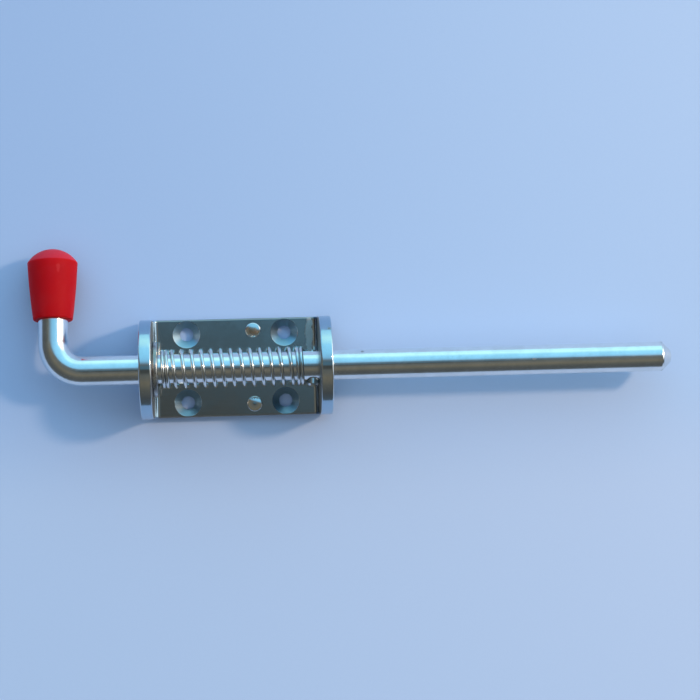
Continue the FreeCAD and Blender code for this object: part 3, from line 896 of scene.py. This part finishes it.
def lay_paper(settings):
    """A wide flat sheet just under the latch, with painted light: paler towards the lamp, and paler and
    warmer on the side away from the handle.
    """
    level = CAD_BOX[0][2] - PAPER_GAP
    ways = ((-1, -1), (1, -1), (1, 1), (-1, 1))
    corners = [(x * PAPER_REACH, y * PAPER_REACH, level) for x, y in ways]
    mesh = bpy.data.meshes.new("paper")
    mesh.from_pydata(corners, [], [(0, 1, 2, 3)])
    paper = bpy.data.objects.new("paper", mesh)
    bpy.context.scene.collection.objects.link(paper)
    material, tree, shader, coords = new_material("pale_paper", Metallic=0.0, Specular_IOR_Level=0.5)
    x, y, _ = tree.split(coords["Object"])
    fibre = tree.noise(coords["Object"], scale=900.0, detail=3.0)
    # Painted light: paler towards the lamp, then paler and warmer on the side away from the handle.
    colour = tree.mix(tree.ease(x, *PAPER_ALONG), settings.paper_left, settings.paper_right)
    colour = tree.mix(tree.ease(y, *PAPER_ACROSS), colour, settings.paper_front)
    tree.put(shader, "Base Color", colour)
    tree.put(shader, "Roughness", tree.spread(fibre, 0.6, 0.8))
    mesh.materials.append(material)


def light_surroundings(settings):
    """A bright sky on the handle's side, a dim room on the other, and a white glow beyond the free end."""
    world = bpy.data.worlds.new("surroundings")
    bpy.context.scene.world = world
    world.use_nodes = True
    tree = ShaderTree(world.node_tree)
    way = tree.add("ShaderNodeTexCoord").outputs["Generated"]
    height = tree.split(way)["Z"]
    side = tree.along(way, SKY_WAY)
    room = tree.ramp(height, [
        (0.0, (0.12, 0.14, 0.17)),
        (0.05, (0.075, 0.092, 0.105)),
        (0.35, (0.055, 0.062, 0.066)),
        (0.65, (0.074, 0.080, 0.074)),
        (0.87, (0.130, 0.122, 0.094)),
        (1.0, (0.086, 0.100, 0.100)),
    ])
    sky = tree.ramp(side, [
        (0.20, (0.16, 0.36, 0.56)),
        (0.48, (0.22, 0.57, 0.83)),
        (0.76, (0.26, 0.65, 0.91)),
        (0.94, (0.51, 0.95, 1.0)),
        (1.0, (0.46, 0.86, 1.0)),
    ])
    overhead = tree.mix(tree.ease(side, *OVERHEAD_SPLIT), OVERHEAD_ROOM, OVERHEAD_SKY)
    around = tree.mix(tree.ease(side, *SKY_EDGE), room, sky)
    around = tree.mix(tree.ease(height, *OVERHEAD_EDGE), around, overhead)
    around = tree.mix(tree.ease(tree.along(way, GLOW_WAY), *GLOW_EDGE), around, GLOW)
    out = tree.add("ShaderNodeOutputWorld")
    back = tree.add("ShaderNodeBackground", Color=around, Strength=settings.sky_strength)
    tree.put(out, "Surface", back.outputs[0])


def light_key(settings):
    """A warm lamp beyond the bolt's free end, slightly on the handle's side."""
    lamp = bpy.data.lights.new("key_lamp", "POINT")
    lamp.energy = settings.key_power
    lamp.shadow_soft_size = settings.key_size
    lamp.color = settings.key_colour
    key = bpy.data.objects.new("key_lamp", lamp)
    level = settings.key_distance * math.cos(settings.key_elevation)
    key.location = (
        level * math.cos(settings.key_azimuth),
        level * math.sin(settings.key_azimuth),
        settings.key_distance * math.sin(settings.key_elevation),
    )
    bpy.context.scene.collection.objects.link(key)


def light_fill(settings):
    """A broad cool light from the handle's side, which no metal mirrors."""
    lamp = bpy.data.lights.new("fill_lamp", "SUN")
    lamp.energy = settings.fill_strength
    lamp.angle = settings.fill_angle
    lamp.color = settings.fill_colour
    fill = bpy.data.objects.new("fill_lamp", lamp)
    fill.rotation_euler = (-settings.fill_tilt, 0, 0)
    fill.visible_glossy = False
    bpy.context.scene.collection.objects.link(fill)


def set_camera(settings):
    """The camera looks down from over the bracket and leans towards the bolt's free end."""
    camera = bpy.data.cameras.new("camera")
    camera.lens = settings.lens
    camera.sensor_width = SENSOR_WIDTH
    view = bpy.data.objects.new("camera", camera)
    view.location = settings.camera_place
    view.rotation_euler = settings.camera_turn
    bpy.context.scene.collection.objects.link(view)
    bpy.context.scene.camera = view


class LATCH_OT_stage(bpy.types.Operator):
    """Lays the paper, and sets the light and the camera"""

    bl_idname = "latch.stage"
    bl_label = "Set the stage"

    def execute(self, context):
        settings = context.scene.latch_stage
        context.scene.view_settings.view_transform = "Standard"
        lay_paper(settings)
        light_surroundings(settings)
        light_key(settings)
        light_fill(settings)
        set_camera(settings)
        return {"FINISHED"}


class LATCH_PT_panel(bpy.types.Panel):
    """Lists the steps that dress the latch"""

    bl_idname = "LATCH_PT_panel"
    bl_label = "Gate latch"
    bl_space_type = "VIEW_3D"
    bl_region_type = "UI"
    bl_category = "Latch"

    def draw(self, context):
        column = self.layout.column()
        for step in STEPS:
            column.operator(step.bl_idname)
        for settings in SETTINGS:
            group = getattr(context.scene, settings)
            for name in group.__annotations__:
                column.prop(group, name)


STEPS = (LATCH_OT_spring, LATCH_OT_bracket, LATCH_OT_bolt, LATCH_OT_cap, LATCH_OT_stage)
SETTINGS = {
    "latch_spring": LatchSpringSettings,
    "latch_finish": LatchFinishSettings,
    "latch_stage": LatchStageSettings,
}
CLASSES = (*SETTINGS.values(), *STEPS, LATCH_PT_panel)


def register():
    """Adds the classes and the scene's settings."""
    for item in CLASSES:
        bpy.utils.register_class(item)
    for name, group in SETTINGS.items():
        setattr(bpy.types.Scene, name, bpy.props.PointerProperty(type=group))


def unregister():
    """Takes them out again."""
    for name in SETTINGS:
        delattr(bpy.types.Scene, name)
    for item in reversed(CLASSES):
        bpy.utils.unregister_class(item)


def main():
    """Runs every step in order."""
    register()
    bpy.ops.latch.spring()
    bpy.ops.latch.bracket()
    bpy.ops.latch.bolt()
    bpy.ops.latch.cap()
    bpy.ops.latch.stage()


if __name__ == "__main__":
    main()
